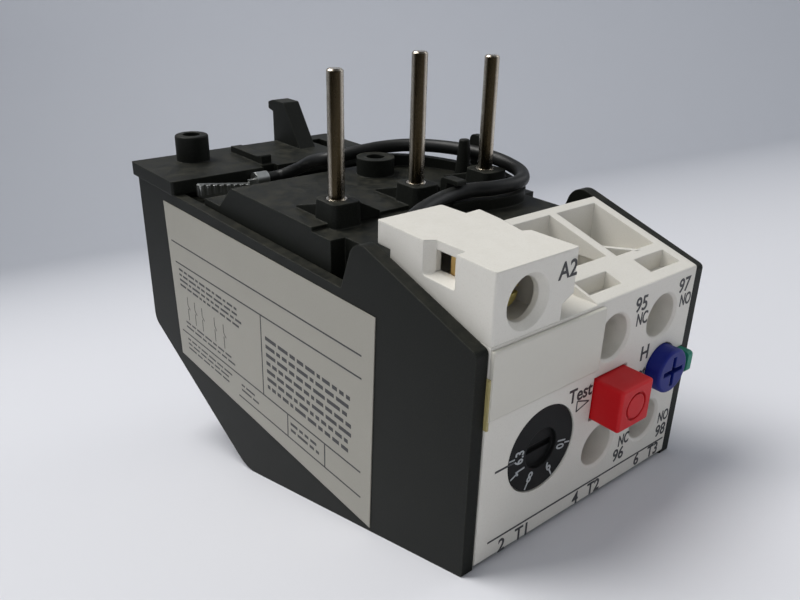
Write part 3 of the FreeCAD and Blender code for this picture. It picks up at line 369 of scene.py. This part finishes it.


# painted reflection: a dark stripe painted into the base colour where the metal faces the viewer
def metal(name, values, bump=0.15, bumpDepth=0.00001, edgeRound=0.00015, paintedReflection=None):
    material, tree, shader = newMaterial(name)
    surface = useGroup(tree, metalSurface, values)
    color = surface["Color"]
    if paintedReflection:
        # painted reflection: the base colour turns dark where the surface faces the viewer
        facing = node(tree, "ShaderNodeLayerWeight", Blend=0.5).outputs["Facing"]
        color = mixed(tree, spread(tree, facing, paintedReflection["ends"]), paintedReflection["color"], color)
    tree.links.new(color, shader.inputs["Base Color"])
    tree.links.new(surface["Roughness"], shader.inputs["Roughness"])
    shader.inputs["Metallic"].default_value = 1.0
    addRelief(tree, shader, surface, edgeRound, bump, bumpDepth)
    return material


# painted reflection: the pins get a dark stripe where they face the viewer
pinMetal = metal("pinMetal", {
    "Color": rgb(206, 198, 184), "Roughness": 0.14,
    "Tarnish Color": rgb(150, 128, 104), "Tarnish Amount": 0.35,
    "Stretch": (1.0, 1.0, 0.08), "Scratch Scale": 2600.0,
}, paintedReflection={"color": rgb(64, 56, 42), "ends": (0.16, 0.42)})
zincSteel = metal("zincSteel", {
    "Color": rgb(196, 198, 196), "Roughness": 0.22,
    "Tarnish Color": rgb(150, 150, 140), "Tarnish Amount": 0.4,
    "Stretch": (1.0, 1.0, 1.0), "Scratch Scale": 1600.0,
})
plainBrass = metal("plainBrass", {
    "Color": rgb(214, 178, 112), "Roughness": 0.2,
    "Tarnish Color": rgb(160, 122, 68), "Tarnish Amount": 0.4,
    "Stretch": (1.0, 0.2, 1.0), "Scratch Scale": 2200.0,
})
yellowZinc = metal("yellowZinc", {
    "Color": rgb(222, 206, 130), "Roughness": 0.3,
    "Tarnish Color": rgb(150, 142, 74), "Tarnish Amount": 0.45,
    "Stretch": (1.0, 1.0, 1.0), "Scratch Scale": 1600.0,
})
heaterAlloy = metal("heaterAlloy", {
    "Color": rgb(150, 142, 132), "Roughness": 0.32,
    "Tarnish Color": rgb(96, 82, 74), "Tarnish Amount": 0.5,
    "Stretch": (1.0, 1.0, 1.0), "Scratch Scale": 1800.0,
})

slotMaterials = {
    "dark_casing": darkCasing, "dark_deck": darkCasing, "lead_sheath": leadBlack,
    "light_terminal_block": lightCover, "light_cover": lightCover, "white_plate": whitePlate,
    "dial_black": dialBlack, "red_button": redButton, "blue_knob": blueKnob, "green_flag": greenFlag,
    "pin_metal": pinMetal, "terminal_steel": zincSteel, "pivot_steel": zincSteel,
    "contact_brass": plainBrass, "heater_alloy": heaterAlloy, "bimetal": heaterAlloy,
    "inner_plastic": innerPlastic,
}
seenThroughHoles = ("aux_screw", "aux_clamp", "coil_screw", "coil_clamp")   # these are yellow zinc
slotOf = {part["node"]: part["material_slot"] for part in frame["record"]["subparts"]}
for name, slotName in slotOf.items():
    materials = nodes[name].data.materials
    materials.clear()
    materials.append(yellowZinc if name.startswith(seenThroughHoles) else slotMaterials[slotName])
print("materials given")

mirrorDark = (0.02, 0.019, 0.016, 1.0)   # what glossy surfaces mirror from the near side of the stage
stageLook = {
    # floorColor near the relay, then painted shade towards the far floor and backdrop
    "floorColor": rgb(218, 219, 224), "farShadeColor": rgb(204, 207, 214), "fade": (0.12, 0.7),
    "heading": 36.3, "behind": -1.2, "reach": 0.6, "bend": 0.25, "bendSteps": 12,
    "height": 1.6, "halfWidth": 1.6,
    "dark": (-0.13, -0.22), "roughness": 0.6, "specular": 0.2,
}


def glossyDark(tree, behind, color):
    ray = node(tree, "ShaderNodeLightPath").outputs["Is Glossy Ray"]
    return mixed(tree, product(tree, behind, ray), color, mirrorDark)


# floor that bends up into a backdrop, square to the camera's heading, with painted shade that darkens it
# towards the far floor and backdrop
def addFloor(look):
    mesh = bmesh.new()
    heading = math.radians(look["heading"])
    ahead = Vector((math.sin(heading), math.cos(heading), 0))
    side = Vector((ahead.y, -ahead.x, 0))
    bend = look["bend"]
    profile = [(look["behind"], 0.0)]
    for i in range(look["bendSteps"] + 1):
        angle = math.radians(90 * i / look["bendSteps"])
        profile.append((look["reach"] + bend * math.sin(angle), bend * (1 - math.cos(angle))))
    profile.append((look["reach"] + bend, look["height"]))
    rows = []
    for away, high in profile:
        middle = ahead * away + Vector((0, 0, high))
        rows.append([mesh.verts.new(middle + side * s) for s in (-look["halfWidth"], look["halfWidth"])])
    for a, b in zip(rows, rows[1:]):
        mesh.faces.new((a[0], b[0], b[1], a[1]))
    bmesh.ops.recalc_face_normals(mesh, faces=mesh.faces)
    data = bpy.data.meshes.new("floor")
    mesh.to_mesh(data)
    mesh.free()
    data.shade_smooth()
    material, tree, shader = newMaterial("paleFloor")
    away = dot(tree, objectPlace(tree), ahead)
    # painted shade: the colour darkens with distance towards the backdrop
    color = mixed(tree, spread(tree, away, look["fade"]), look["floorColor"], look["farShadeColor"])
    color = glossyDark(tree, spread(tree, away, look["dark"]), color)
    tree.links.new(color, shader.inputs["Base Color"])
    shader.inputs["Roughness"].default_value = look["roughness"]
    shader.inputs["Specular IOR Level"].default_value = look["specular"]
    data.materials.append(material)
    addObject("floor", data)


addFloor(stageLook)

lampLook = {
    "key": {"place": (-0.2, 0.14, 0.75), "size": 0.5, "power": 5.2, "color": (1.0, 0.985, 0.96)},
    "fill": {"place": (-0.7, -0.5, 0.35), "size": 0.7, "power": 1.0, "color": (0.95, 0.97, 1.0)},
    "side": {"place": (0.8, -0.35, 0.45), "size": 0.6, "power": 1.2, "color": (0.97, 0.98, 1.0)},
}
lampAim = Vector((0, 0, 0.03))
worldLook = {
    "color": (0.86, 0.9, 0.96, 1.0), "strength": 0.3,
    "heading": stageLook["heading"], "dip": -0.2, "dark": (0.35, 0.75),
}


def addLamp(name, look):
    data = bpy.data.lights.new(name, "AREA")
    data.shape = "DISK"
    data.size = look["size"]
    data.energy = look["power"]
    data.color = look["color"]
    lamp = addObject(name, data)
    lamp.location = look["place"]
    lamp.rotation_euler = (lampAim - Vector(look["place"])).to_track_quat("-Z", "Y").to_euler()


def addWorld(look):
    heading = math.radians(look["heading"])
    world = bpy.data.worlds.new("studio")
    world.use_nodes = True
    tree = world.node_tree
    sky = tree.nodes["Background"]
    sky.inputs["Strength"].default_value = look["strength"]
    where = node(tree, "ShaderNodeTexCoord").outputs["Generated"]
    back = dot(tree, where, (-math.sin(heading), -math.cos(heading), look["dip"]))
    color = glossyDark(tree, spread(tree, back, look["dark"]), look["color"])
    tree.links.new(color, sky.inputs["Color"])
    bpy.context.scene.world = world


for lampName, look in lampLook.items():
    addLamp(lampName, look)
addWorld(worldLook)
bpy.context.scene.view_settings.view_transform = "Standard"
print("stage lit")

inkLook = {"wornScale": 5000.0, "wornDetail": 3.0, "worn": (0.35, 0.75), "paler": 0.04, "roughness": 0.5}


def inkMaterial(name, color, look):
    material, tree, shader = newMaterial(name)
    worn = noise(tree, Vector=objectPlace(tree), Scale=look["wornScale"], Detail=look["wornDetail"])
    wornColor = tuple(v + look["paler"] for v in color[:3]) + (1.0,)
    shown = mixed(tree, spread(tree, worn, look["worn"]), color, wornColor)
    tree.links.new(shown, shader.inputs["Base Color"])
    shader.inputs["Roughness"].default_value = look["roughness"]
    return material


darkInk = inkMaterial("darkInk", rgb(34, 34, 38), inkLook)
paleInk = inkMaterial("paleInk", rgb(168, 172, 174), inkLook)


def finishPiece(piece, body, material):
    piece.data.materials.clear()
    piece.data.materials.append(material)
    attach(piece, body)


# a flat bar or plate between two outlines of the same number of corners
def addPrism(mesh, front, back):
    near = [mesh.verts.new(spot) for spot in front]
    far = [mesh.verts.new(spot) for spot in back]
    faces = [mesh.faces.new(near), mesh.faces.new(list(reversed(far)))]
    for i in range(len(near)):
        j = (i + 1) % len(near)
        faces.append(mesh.faces.new((near[j], near[i], far[i], far[j])))
    bmesh.ops.recalc_face_normals(mesh, faces=faces)


def meshPiece(name, mesh):
    data = bpy.data.meshes.new(name)
    mesh.to_mesh(data)
    mesh.free()
    return addObject(name, data)


def panelPiece(name, corners, depths):   # corners as (x, z), depths along y
    mesh = bmesh.new()
    front, back = ([at(x, y, z) for x, z in corners] for y in depths)
    addPrism(mesh, front, back)
    return meshPiece(name, mesh)


def wallPiece(name, outlines, depths):   # corners as (y, z), depths along x
    mesh = bmesh.new()
    for corners in outlines:
        outer, inner = ([at(x, y, z) for y, z in corners] for x in depths)
        addPrism(mesh, outer, inner)
    return meshPiece(name, mesh)


def line(a0, b0, a1, b1, width):
    run = Vector((a1 - a0, b1 - b0)).normalized() * width / 2
    da, db = -run.y, run.x   # half the width, across the run
    return [(a0 + da, b0 + db), (a0 - da, b0 - db), (a1 - da, b1 - db), (a1 + da, b1 + db)]


# capShare: a capital's share of the type size
typeLook = {"capShare": 0.69, "thick": 0.00003, "curveSteps": 4}


def wordPiece(name, text, high, matrix, widen, bold):
    curve = bpy.data.curves.new(name, "FONT")
    curve.body = text
    curve.size = high * millimetre / typeLook["capShare"]
    curve.extrude = typeLook["thick"]
    curve.offset = bold
    curve.align_x = "CENTER"
    curve.align_y = "CENTER"
    curve.resolution_u = typeLook["curveSteps"]
    holder = addObject(name + ".curve", curve)
    bpy.context.view_layer.update()
    data = bpy.data.meshes.new_from_object(holder.evaluated_get(bpy.context.evaluated_depsgraph_get()))
    bpy.data.objects.remove(holder)
    data.transform(matrix @ Matrix.Diagonal((widen, 1, 1, 1)))
    data.name = name
    return addObject(name, data)


def onPanel(x, z, y=0.0, turn=0.0):
    right = way(math.cos(turn), 0, math.sin(turn))
    up = way(-math.sin(turn), 0, math.cos(turn))
    return axesAt(right, up, right.cross(up), at(x, y, z))


panelMarks = {
    # text, x, z, height of its capitals
    "words": [
        ("2", -15.7, 1.0, 2.0), ("T1", -11.8, 1.1, 2.0), ("4", -0.9, 1.2, 2.0), ("T2", 3.1, 1.3, 2.0),
        ("6", 13.4, 1.5, 2.0), ("T3", 17.6, 1.4, 2.0),
        ("Test", -2.9, 19.1, 2.0), ("H", 10.7, 20.6, 2.2), ("Reset", 9.0, 17.5, 1.8),
        ("96", 8.2, 4.7, 2.0), ("NC", 9.0, 7.0, 1.8), ("98", 18.8, 4.6, 2.0), ("NO", 18.9, 7.1, 1.8),
        ("97", 18.0, 29.0, 2.1), ("NO", 18.9, 26.6, 1.8), ("95", 8.0, 28.8, 2.1), ("NC", 8.6, 26.5, 1.8),
    ],
    "blockWord": ("A2", -8.5, 37.7, 2.1), "blockWiden": 0.92,
    "widen": 0.9, "narrow": 0.66, "narrowWords": ("NC", "NO"), "bold": 0.00005, "wordDepth": -0.01,
    # name, ends and width
    "bars": [("print_line", (-18.4, 2.75, 20.0, 2.75, 0.26)),
             ("dial_pointer", (-18.1, 13.5, -14.7, 13.5, 0.3))],
    "arrow": [(-3.4, 18.1), (-3.4, 16.5), (-0.9, 17.3)], "arrowWidth": 0.2,
    "barDepths": (-0.03, 0.02),
}


def printPanel(look):
    def addWord(name, mark, widen):
        text, x, z, high = mark
        piece = wordPiece(name, text, high, onPanel(x, z, look["wordDepth"]), widen, look["bold"])
        finishPiece(piece, "housing", darkInk)

    def addBar(name, corners):
        finishPiece(panelPiece(name, corners, look["barDepths"]), "housing", darkInk)

    for i, mark in enumerate(look["words"]):
        widen = look["narrow"] if mark[0] in look["narrowWords"] else look["widen"]
        addWord("mark_%02d" % i, mark, widen)
    addWord("mark_A2", look["blockWord"], look["blockWiden"])
    for name, bar in look["bars"]:
        addBar(name, line(*bar))
    arrow = look["arrow"]
    for i, (a, b) in enumerate(zip(arrow, arrow[1:] + arrow[:1])):
        addBar("test_arrow_%d" % i, line(*a, *b, look["arrowWidth"]))


printPanel(panelMarks)
print("panel printed")

dialMarks = {
    "centre": (-9.608, 13.4), "face": 0.13, "ring": 4.0, "high": 1.5, "widen": 0.8, "bold": 0.00003,
    "tick": (4.9, 5.95), "thick": 0.22, "tickDepths": (-0.01, 0.03),   # depths from the face
    # number and its angle in degrees
    "numbers": [("6.3", 176.0), ("7", 206.0), ("8", 246.0), ("9", 297.0), ("10", 347.0)],
}


def outwards(centre, radius, angle):
    return centre[0] + radius * math.cos(angle), centre[1] + radius * math.sin(angle)


def markDial(look):
    face, centre = look["face"], look["centre"]
    for i, (text, degrees) in enumerate(look["numbers"]):
        angle = math.radians(degrees)
        spot = onPanel(*outwards(centre, look["ring"], angle), face, angle - math.pi / 2)
        word = wordPiece("dial_number_%d" % i, text, look["high"], spot, look["widen"], look["bold"])
        finishPiece(word, "setting_dial", paleInk)
        inner, outer = (outwards(centre, radius, angle) for radius in look["tick"])
        bar = line(*inner, *outer, look["thick"])
        tick = panelPiece("dial_tick_%d" % i, bar, [face + depth for depth in look["tickDepths"]])
        finishPiece(tick, "setting_dial", paleInk)


markDial(dialMarks)
print("dial marked")

# label on the left wall: plain rules, rows of plain dashes and a plain drawing of poles
labelLook = {
    "wall": -22.5, "thick": 0.12,
    "sunk": 0.02,   # how far plate and print reach into what is under them
    "corners": [(81.5, -3.5), (19.1, -5.6), (18.1, 28.6), (83.0, 27.8)],
    "rules": [(81.1, 20.6, 21.0, 21.9), (80.1, 16.6, 21.0, 18.4), (48.2, 17.6, 48.6, 2.6),
              (80.2, 2.2, 21.3, 2.9), (57.7, -1.9, 21.3, -1.5), (41.0, 2.6, 41.2, -1.7),
              (30.4, 2.7, 30.5, -1.6)],
    "ruleWidth": 0.26, "ruleProud": 0.02,
    # rows of dashes: first y, last y, top z, spacing, count, height
    "rows": [(79.0, 55.0, 15.2, 1.05, 4, 0.42), (78.0, 58.5, 4.6, 1.0, 2, 0.36),
             (78.0, 60.0, 0.9, 1.0, 3, 0.34), (47.0, 23.5, 13.6, 1.5, 7, 0.66),
             (56.5, 50.5, 0.6, 1.0, 2, 0.36), (40.2, 31.5, 1.0, 1.2, 2, 0.5)],
    "dash": (0.8, 3.4), "gap": 0.55, "shortest": 1, "seed": 7, "rowProud": 0.015,
    # each pole is a line with a slanted break in its middle
    "poles": (76.5, 73.5, 70.5, 65.5, 62.0), "poleTop": 10.4, "poleLow": 5.6,
    "breakHigh": 0.7, "breakAside": 0.8, "poleWidth": 0.2,
}


def dashStrokes(look):
    strokes = []
    draw = random.Random(look["seed"])
    for first, last, top, spacing, count, high in look["rows"]:
        for row in range(count):
            z = top - row * spacing
            y = first
            while y > last + look["shortest"]:
                end = max(last, y - draw.uniform(*look["dash"]))
                strokes.append([(y, z), (end, z), (end, z + high), (y, z + high)])
                y = end - look["gap"]
    return strokes


def poleStrokes(look):
    middle = (look["poleTop"] + look["poleLow"]) / 2
    breakTop = middle + look["breakHigh"]
    strokes = []
    for y in look["poles"]:
        strokes.append(line(y, look["poleTop"], y, breakTop, look["poleWidth"]))
        strokes.append(line(y, breakTop, y - look["breakAside"], middle, look["poleWidth"]))
        strokes.append(line(y, middle, y, look["poleLow"], look["poleWidth"]))
    return strokes


def addLabel(look):
    face = look["wall"] - look["thick"]
    under = face + look["sunk"]
    plate = wallPiece("label_plate", [look["corners"]], (face, look["wall"] + look["sunk"]))
    finishPiece(plate, "housing", paperLabel)
    for i, ends in enumerate(look["rules"]):
        rule = line(*ends, look["ruleWidth"])
        piece = wallPiece("label_rule_%d" % i, [rule], (face - look["ruleProud"], under))
        finishPiece(piece, "housing", darkInk)
    rows = wallPiece("label_rows", dashStrokes(look) + poleStrokes(look), (face - look["rowProud"], under))
    finishPiece(rows, "housing", darkInk)


addLabel(labelLook)

gateLook = {"left": -20.62, "right": -20.3, "low": 20.6, "high": 27.4, "depths": (-0.35, 0.9)}


# amber piece at the left edge of the marking plate
def addGate(look):
    left, right, low, high = (look[k] for k in ("left", "right", "low", "high"))
    corners = [(left, low), (right, low), (right, high), (left, high)]
    finishPiece(panelPiece("plate_gate", corners, look["depths"]), "housing", agedClear)


addGate(gateLook)
print("label laid")

# return springs, copied from their CAD parts into pieces of their own
springLook = [
    {"node": "test_spring", "joint": "test_button_press", "front": 3.5, "rear": 11.95, "travel": 2.0},
    {"node": "reset_spring", "joint": "reset_plunger_press", "front": 8.05, "rear": 11.95, "travel": 2.0},
]


def addSpring(look):
    cad = nodes[look["node"]]
    coils = cad.data.copy()
    coils.transform(cad.matrix_world)
    coils.name = look["node"] + "_coils"
    piece = addObject(look["node"] + "_coils", coils)
    finishPiece(piece, "housing", zincSteel)
    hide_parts(look["node"])
    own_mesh(piece)


for look in springLook:
    addSpring(look)
print("springs set")
